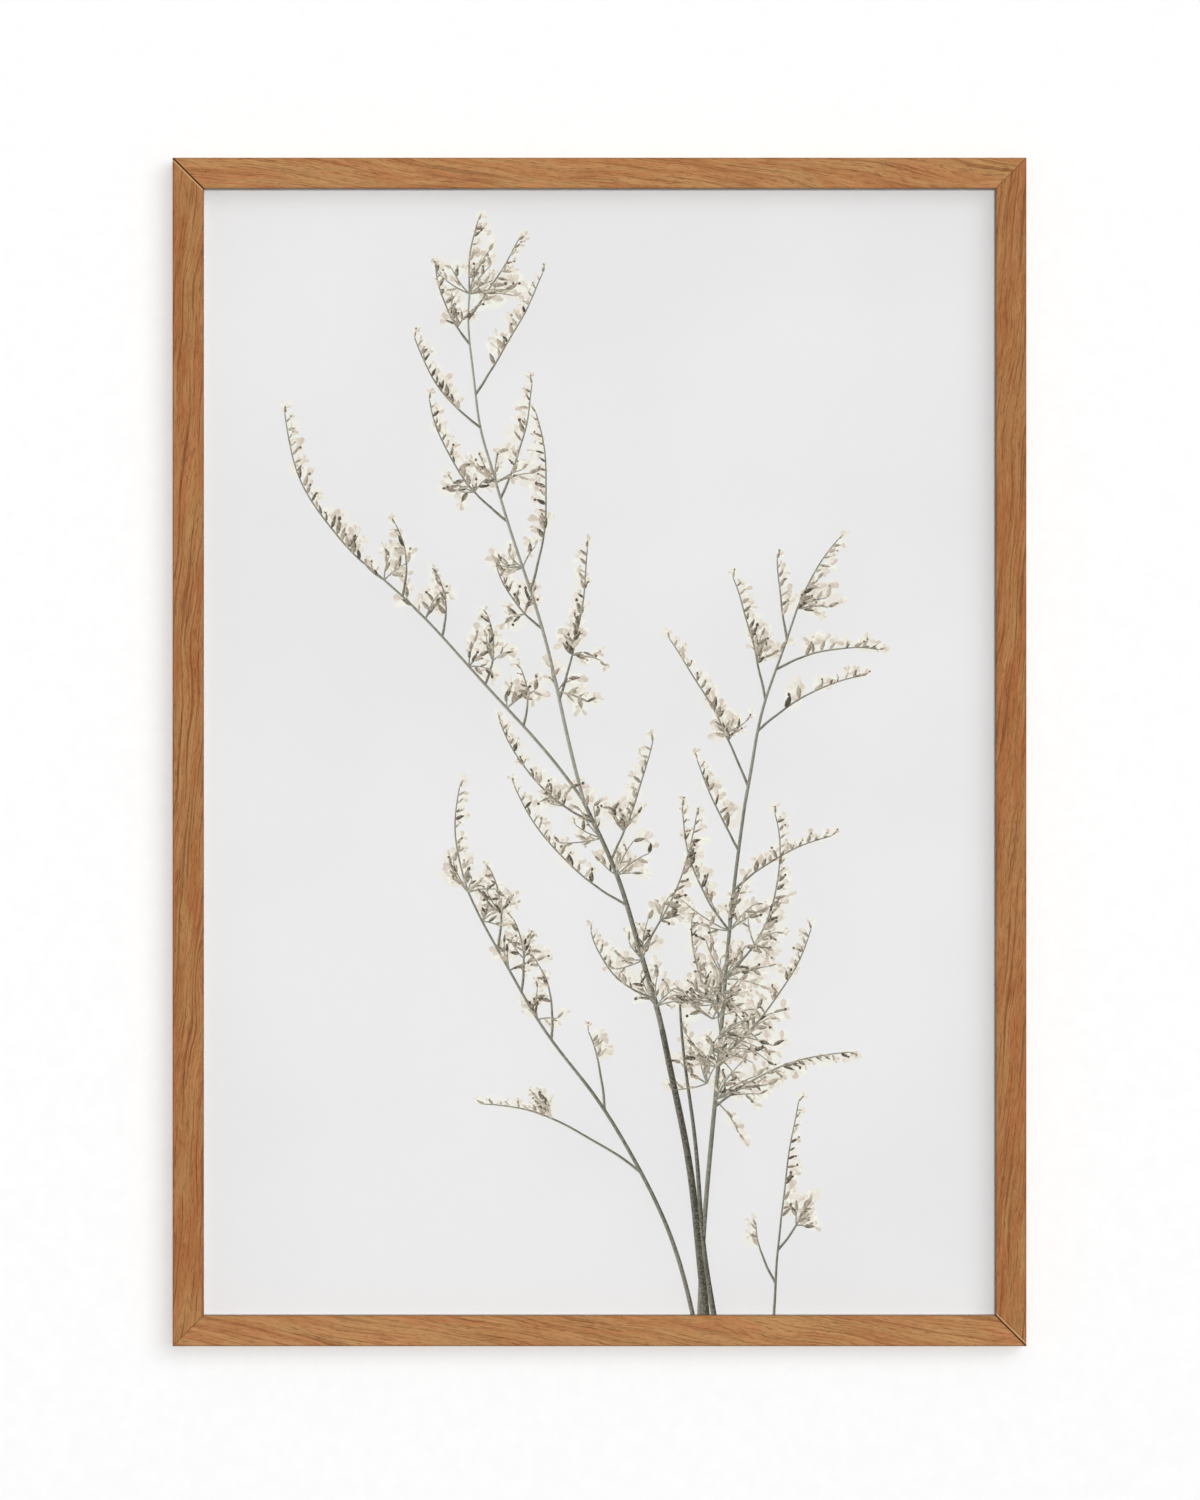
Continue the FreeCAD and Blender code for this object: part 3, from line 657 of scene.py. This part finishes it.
class Spray:
    """The printed plant: stems, twigs, one-sided spikes of buds, and pale papery petals.

    Angles are in radians where a docstring doesn't say degrees.
    """

    def __init__(self, seed):
        self.random = random.Random(seed)
        self.glow = Ink("glow", GLOW_TONES, lift=0.02 * MM, shade=0.0, mottle=0.1)
        self.petals = Ink("petals", PETAL_TONES, lift=0.12 * MM, shade=0.2, mottle=0.2)
        self.stems = Ink("stems", STEM_TONES, lift=0.22 * MM, shade=0.25, mottle=0.15)
        self.buds = Ink("buds", BUD_TONES, lift=0.32 * MM, shade=0.2, mottle=0.25)

    def vary(self, value, share):
        return value * self.random.uniform(1 - share, 1 + share)

    def turn(self, least, most):
        """A turn drawn between two angles in degrees, in radians."""
        return radians(self.random.uniform(least, most))

    def shape(self, ink, start, heading, length, width, outline, tone, bend=0.0, steps=6):
        """Prints a blade, as wide as the outline says along its length. Returns where it ends."""
        line = Curve(start, heading, length, bend, steps).line
        widths = [width * outline(index / steps) for index in range(steps + 1)]
        ink.ribbon(line, widths, tone)
        return line[-1]

    def stem(self, start, heading, length, bend, foot, tip, tone):
        """Prints a stem that tapers from the width of its foot to that of its tip."""
        steps = max(int(length / STEM_STEP), 6)
        wobble = self.vary(STEM_WOBBLE, 0.5)
        phase = self.random.uniform(0, math.tau)
        made = Curve(start, heading, length, bend, steps, wobble, phase)
        widths = [foot + (tip - foot) * index / steps for index in range(steps + 1)]
        self.stems.ribbon(made.line, widths, tone)
        return made

    def floret(self, start, heading, size, tone):
        """One bud with the papery petals that stand round its end."""
        pick = self.random
        width = size * pick.uniform(0.2, 0.42)
        end = self.shape(self.buds, start, heading, size, width, lens, tone, self.turn(-25, 25))
        for _ in range(pick.randint(3, 5)):
            lean = heading + self.turn(-75, 75)
            root = Vector(start).lerp(Vector(end), pick.uniform(0.55, 1.0))
            length = size * pick.uniform(0.45, 0.95)
            width = size * pick.uniform(0.3, 0.7)
            self.shape(self.petals, root, lean, length, width, fan, pick.random())
        if pick.random() < 0.35:
            speck = Vector(start).lerp(Vector(end), pick.uniform(0.7, 1.1))
            lean = heading + pick.uniform(-1, 1)
            self.shape(self.buds, speck, lean, size * 0.3, size * 0.24, lens, tone - 0.3)
        if pick.random() < 0.8:
            lean = heading + self.turn(-20, 20)
            self.shape(self.glow, start, lean, size * 1.7, size * 1.2, lens, pick.random())

    def spike(self, start, heading, length, bend, side, bud=6.5 * MM, tone=0.4):
        """A curling twig with buds along one side of it: 1 for its right and -1 for its left."""
        twig = self.stem(start, heading, length, bend, 1.2 * MM, 0.7 * MM, 0.45)
        count = max(int(length / BUD_SPACING), 3)
        for index in range(count):
            share = (index + self.random.uniform(0.25, 0.95)) / count
            point, along = twig.at(share)
            lean = along + side * self.turn(24, 74)
            size = self.vary(bud, 0.32) * (1.25 - 0.6 * share)
            self.floret(point, lean, size, self.random.gauss(tone, 0.2))
            if self.random.random() < 0.25:
                self.floret(point, lean - side * 0.5, size * 0.8, self.random.gauss(tone, 0.2))
        point, along = twig.at(1)
        self.floret(point, along + side * 0.3, bud * 0.75, tone)

    def tuft(self, start, heading, size, count, tone=0.4):
        """A dense head: short twigs fanned out, each with a few florets."""
        for _ in range(count):
            lean = heading + self.turn(-75, 75)
            length = self.vary(size, 0.5)
            twig = self.stem(start, lean, length, 0.4, 1.0 * MM, 0.6 * MM, 0.5)
            for share in (0.45, 0.7, 1.0):
                point, along = twig.at(share)
                out = along + self.turn(-60, 60)
                self.floret(point, out, self.vary(TUFT_BUD, 0.3), self.random.gauss(tone, 0.22))

    def branch(self, stem, share, lean, length, bend, side, bare=0.35, tone=0.4):
        """A side twig that leaves a stem at a share of its length. Its bare part comes first.

        Its lean off the stem and its bend are in degrees.
        """
        point, along = stem.at(share)
        heading = along + radians(lean)
        curl = radians(bend)
        twig = self.stem(point, heading, length * bare, curl * bare, 1.7 * MM, 1.2 * MM, 0.35)
        point, along = twig.at(1)
        self.spike(point, along, length * (1 - bare), curl, side, tone=tone)
        if self.random.random() < 0.5:
            self.tuft(point, along, 12 * MM, 4, tone)

    def branches(self, stem, twigs, bare):
        """Side twigs, each told by its share of the stem, lean, length in mm, bend and side.

        The leans and bends are in degrees.
        """
        for share, lean, length, bend, side in twigs:
            self.branch(stem, share, lean, length * MM, bend, side, bare)

    def tufts(self, stem, size, count, places, tone=0.4, aside=0.0):
        """Tufts, each told by its share of the stem and its lean."""
        for share, lean in places:
            (x, z), along = stem.at(share)
            self.tuft((x - aside, z), along + lean, size, count, tone)

    def pieces(self):
        for ink in (self.glow, self.petals, self.stems, self.buds):
            ink.piece()


def tall_stem(spray, foot):
    """The tall stem leans left and forks in two: an arch, and a rise that ends in a crown."""
    trunk = spray.stem((66 * MM, foot), radians(-4), 180 * MM, radians(-9), 5.0 * MM, 3.6 * MM, 0.1)
    upper = spray.stem(*trunk.at(1), 150 * MM, radians(-13), 3.4 * MM, 2.4 * MM, 0.3)
    twigs = (
        (0.16, -58, 60, 46, 1),
        (0.36, 52, 92, -22, 1),
        (0.55, -46, 104, 30, 1),
        (0.74, 48, 78, -8, -1),
        (0.9, -40, 88, 34, 1),
    )
    spray.branches(upper, twigs, bare=0.25)
    spray.tufts(upper, 18 * MM, 6, ((0.1, 0.7), (0.3, -0.6), (0.68, 0.5), (0.85, -0.7)))

    fork, heading = upper.at(1)
    arch = spray.stem(fork, heading - 0.2, 205 * MM, radians(-12), 2.0 * MM, 1.3 * MM, 0.5)
    for share, tuft_share, lean, length in (
        (0.3, 0.38, 60, 36),
        (0.48, 0.54, 66, 44),
        (0.66, 0.74, 58, 40),
        (0.84, 0.91, 62, 46),
    ):
        spray.branch(arch, share, lean, length * MM, -30, -1)
        spray.tufts(arch, 15 * MM, 4, [(tuft_share, 0.9)])
    spray.spike(*arch.at(1), 104 * MM, radians(44), 1, bud=7.4 * MM)

    rise = spray.stem(fork, heading + 0.22, 220 * MM, radians(-6), 2.3 * MM, 1.6 * MM, 0.6)
    twigs = (
        (0.3, 30, 96, -12, -1),
        (0.52, -38, 48, 24, 1),
        (0.62, 36, 112, -24, -1),
        (0.82, -36, 92, 30, 1),
        (0.9, 42, 74, -16, -1),
    )
    spray.branches(rise, twigs, bare=0.3)
    spray.tufts(rise, 16 * MM, 5, ((0.34, 0.8), (0.7, -0.5), (0.95, 0.4)), tone=0.5)

    crown = spray.stem(*rise.at(1), 104 * MM, radians(18), 1.6 * MM, 1.1 * MM, 0.6)
    twigs = (
        (0.2, -42, 70, 30, 1),
        (0.42, 40, 86, -10, -1),
        (0.7, -34, 52, 26, 1),
        (0.85, 38, 58, -8, 1),
    )
    spray.branches(crown, twigs, bare=0.25)
    point, heading = crown.at(1)
    spray.tuft(point, heading, 20 * MM, 9, tone=0.55)
    spray.spike(point, heading - 0.2, 46 * MM, radians(24), 1)


def right_stem(spray, foot):
    """The right-hand stem carries the densest heads. A bare stem stands beside its foot."""
    spray.stem((71 * MM, foot), radians(-7), 195 * MM, radians(2), 3.6 * MM, 1.4 * MM, 0.2)
    stem = spray.stem((62 * MM, foot), radians(3), 320 * MM, radians(4), 3.2 * MM, 1.9 * MM, 0.35)
    tip = spray.stem(*stem.at(1), 125 * MM, radians(14), 2.1 * MM, 1.2 * MM, 0.45)
    twigs = (
        (0.1, -32, 104, -10, 1),
        (0.36, 36, 74, 26, -1),
        (0.52, -28, 78, -8, 1),
        (0.7, 40, 66, 28, -1),
        (0.86, -30, 50, 4, 1),
    )
    spray.branches(tip, twigs, bare=0.3)
    spray.tuft(*tip.at(1), 16 * MM, 5, tone=0.55)
    spray.spike(*tip.at(1), 50 * MM, radians(20), 1)
    twigs = (
        (0.42, 44, 92, 30, 1),
        (0.5, 46, 100, -26, -1),
        (0.58, -40, 66, 30, 1),
        (0.66, 42, 112, -46, 1),
        (0.76, -46, 84, 30, 1),
        (0.84, 40, 70, 22, -1),
        (0.92, -36, 62, 10, 1),
    )
    spray.branches(stem, twigs, bare=0.25)
    heads = ((0.43, 0.9), (0.49, -0.4), (0.55, 0.6), (0.62, -0.8), (0.66, 0.3), (0.76, -0.5))
    spray.tufts(stem, 24 * MM, 9, heads, tone=0.45)
    heads = ((0.46, -0.9), (0.52, 1.1), (0.59, -0.2), (0.63, 1.0))
    spray.tufts(stem, 19 * MM, 7, heads, tone=0.55, aside=6 * MM)


def left_stem(spray, foot):
    """The low stem on the left is thin and sparse."""
    stem = spray.stem((58 * MM, foot), radians(-12), 165 * MM, radians(-26), 2.8 * MM, 2.0 * MM, 0.3)
    far = spray.stem(*stem.at(1), 135 * MM, radians(14), 1.9 * MM, 1.3 * MM, 0.4)
    for share, tuft_share, lean, length, bend in (
        (0.25, 0.35, 44, 52, -30),
        (0.5, 0.6, 40, 46, -26),
        (0.74, 0.87, 42, 50, -24),
    ):
        spray.branch(far, share, lean, length * MM, bend, -1, bare=0.45)
        spray.tufts(far, 14 * MM, 4, [(tuft_share, 0.9)])
    point, heading = far.at(1)
    spray.tuft(point, heading + 0.6, 15 * MM, 6)
    spray.spike(point, heading, 66 * MM, radians(34), 1, bud=7 * MM)
    spray.branch(stem, 0.6, -24, 108 * MM, -22, 1, bare=0.6, tone=0.6)
    spray.branch(stem, 0.86, 30, 50 * MM, -14, 1, bare=0.6, tone=0.6)


def young_shoot(spray, foot):
    """A young shoot of its own stands to the right."""
    shoot = spray.stem((108 * MM, foot), radians(2), 62 * MM, radians(4), 1.7 * MM, 1.1 * MM, 0.3)
    spray.branch(shoot, 0.35, -34, 38 * MM, 20, -1, bare=0.6)
    spray.branch(shoot, 0.7, 38, 32 * MM, -20, 1, bare=0.6)
    spray.spike(*shoot.at(1), 72 * MM, radians(6), 1, bud=6 * MM)


def picture():
    """A loose spray that rises from right of the middle of the bottom edge and fans out."""
    spray = Spray(21)
    foot = -SIGHT_Z - 1.5 * MM
    for grow in (tall_stem, right_stem, left_stem, young_shoot):
        grow(spray, foot)
    spray.pieces()


# ---------------------------------------------------------------- the studio

LENS = 200.0
SENSOR = 36.0
VIEW_HEIGHT = 0.9275
AIM = Vector((0.3 * MM, 0.0, 1.2 * MM))
FLOOR_LEVEL = -0.75
STAGE_HALF = 3.0
FLOOR_GLOW = 0.45
AMBIENT = 0.13
SKY = 0.93
MIRRORED_SKY = 0.3


def camera():
    """A long lens square on to the picture, as far off as the framing needs."""
    data = bpy.data.cameras.new("camera")
    data.lens = LENS
    data.sensor_width = SENSOR
    data.clip_end = 40.0
    made = bpy.data.objects.new("camera", data)
    bpy.context.scene.collection.objects.link(made)
    distance = VIEW_HEIGHT * LENS / SENSOR
    made.location = AIM + Vector((0.0, FRONT - distance, 0.0))
    made.rotation_euler = (math.pi / 2, 0.0, 0.0)
    bpy.context.scene.camera = made


def links(name, objects, state):
    """A collection that a light takes as the things it lights: those objects, or all but those."""
    group = bpy.data.collections.new(name)
    for thing in objects:
        group.objects.link(thing)
    for member in group.collection_objects:
        member.light_linking.link_state = state
    return group


def sun(name, towards, strength, spread, lit, glossy=True):
    """Even light on what lit holds. It travels along towards, from a disc spread degrees wide."""
    data = bpy.data.lights.new(name, "SUN")
    data.energy = strength
    data.angle = radians(spread)
    made = bpy.data.objects.new(name, data)
    bpy.context.scene.collection.objects.link(made)
    made.rotation_mode = "QUATERNION"
    made.rotation_quaternion = Vector(towards).to_track_quat("-Z", "Y")
    made.visible_glossy = glossy
    made.light_linking.receiver_collection = lit


def lights(wall):
    """A broad key from the upper right, a frontal fill, and lights behind for the other views.

    The wall has its own key, from a smaller disc, and the glass mirrors none of the lights.
    """
    glass = nodes["glazing_sheet"]
    the_frame = links("the_frame", [glass, wall], "EXCLUDE")
    the_wall = links("the_wall", [wall], "INCLUDE")
    sun("front_fill", (-0.03, 1.0, -0.03), 2.04, 6.0, the_frame, glossy=False)
    sun("key", (-0.56, 1.0, -0.45), 1.12, 54.0, the_frame)
    sun("rear_left", (0.7, -1.0, -0.35), 1.5, 75.0, the_frame)
    sun("rear_right", (-0.7, -1.0, -0.35), 1.5, 75.0, the_frame)
    sun("wall_fill", (-0.03, 1.0, -0.03), 1.56, 6.0, the_wall)
    sun("wall_soft", (0.0, 1.0, 0.0), 0.38, 50.0, the_wall)
    sun("wall_key", (-0.38, 1.0, -0.27), 1.14, 40.0, the_wall)


def sky():
    """A weak even world. The camera sees it bright, and mirrors see it part bright."""
    world = bpy.data.worlds.new("world")
    world.use_nodes = True
    tree = world.node_tree
    path = tree.nodes.new("ShaderNodeLightPath")
    share = tree.nodes.new("ShaderNodeMath")
    share.operation = "MULTIPLY_ADD"
    share.inputs[1].default_value = MIRRORED_SKY
    strength = tree.nodes.new("ShaderNodeMapRange")
    strength.inputs["To Min"].default_value = AMBIENT
    strength.inputs["To Max"].default_value = SKY
    tree.links.new(path.outputs["Is Glossy Ray"], share.inputs[0])
    tree.links.new(path.outputs["Is Camera Ray"], share.inputs[2])
    tree.links.new(share.outputs[0], strength.inputs["Value"])
    background = tree.nodes["Background"]
    background.inputs["Color"].default_value = WHITE
    tree.links.new(strength.outputs["Result"], background.inputs["Strength"])
    bpy.context.scene.world = world


def plane(name, corners, material):
    mesh = bpy.data.meshes.new(name)
    mesh.from_pydata(corners, [], [(0, 1, 2, 3)])
    mesh.materials.append(material)
    made = bpy.data.objects.new(name, mesh)
    bpy.context.scene.collection.objects.link(made)
    return made


def one_sided(shader, surface):
    """Ends a stage material that is clear from behind, so that the stage hides no view."""
    clear = shader.node("ShaderNodeBsdfTransparent").outputs[0]
    behind = shader.node("ShaderNodeNewGeometry").outputs["Backfacing"]
    return shader.blend(behind, surface, clear)


def backdrop():
    """The white wall that the frame hangs on."""
    shader = Shader("wall_paint")
    roller = shader.noise(shader.place(), 3.0, 0.6, 120.0)
    colour = shader.mix(shader.fade(roller, 0.3, 0.7), srgb(247, 247, 247), srgb(249, 249, 249))
    paint_coat = shader.node("ShaderNodeBsdfDiffuse", {"Color": colour}).outputs[0]
    wall = plane(
        "wall",
        [
            (-STAGE_HALF, WALL, FLOOR_LEVEL),
            (STAGE_HALF, WALL, FLOOR_LEVEL),
            (STAGE_HALF, WALL, STAGE_HALF),
            (-STAGE_HALF, WALL, STAGE_HALF),
        ],
        one_sided(shader, paint_coat),
    )
    wall.visible_diffuse = False
    wall.visible_glossy = False
    wall.visible_transmission = False
    wall.visible_shadow = False
    return wall


def floor():
    """A plain pale floor, well below the frame."""
    shader = Shader("pale_floor")
    cloud = shader.noise(shader.place(), 3.0, 0.6, 3.0)
    colour = shader.mix(shader.fade(cloud, 0.3, 0.7), srgb(226, 226, 224), srgb(232, 232, 230))
    inputs = {
        "Base Color": colour,
        "Roughness": 0.9,
        "Emission Color": WHITE,
        "Emission Strength": FLOOR_GLOW,
    }
    surface = shader.node("ShaderNodeBsdfPrincipled", inputs).outputs[0]
    reach = 2 * STAGE_HALF
    ground = plane(
        "floor",
        [
            (-reach, -reach, FLOOR_LEVEL),
            (reach, -reach, FLOOR_LEVEL),
            (reach, reach, FLOOR_LEVEL),
            (-reach, reach, FLOOR_LEVEL),
        ],
        one_sided(shader, surface),
    )
    ground.visible_diffuse = False
    ground.visible_glossy = False


bpy.context.scene.view_settings.view_transform = "Standard"
camera()
lights(backdrop())
sky()
floor()
paint_nodes()
picture()
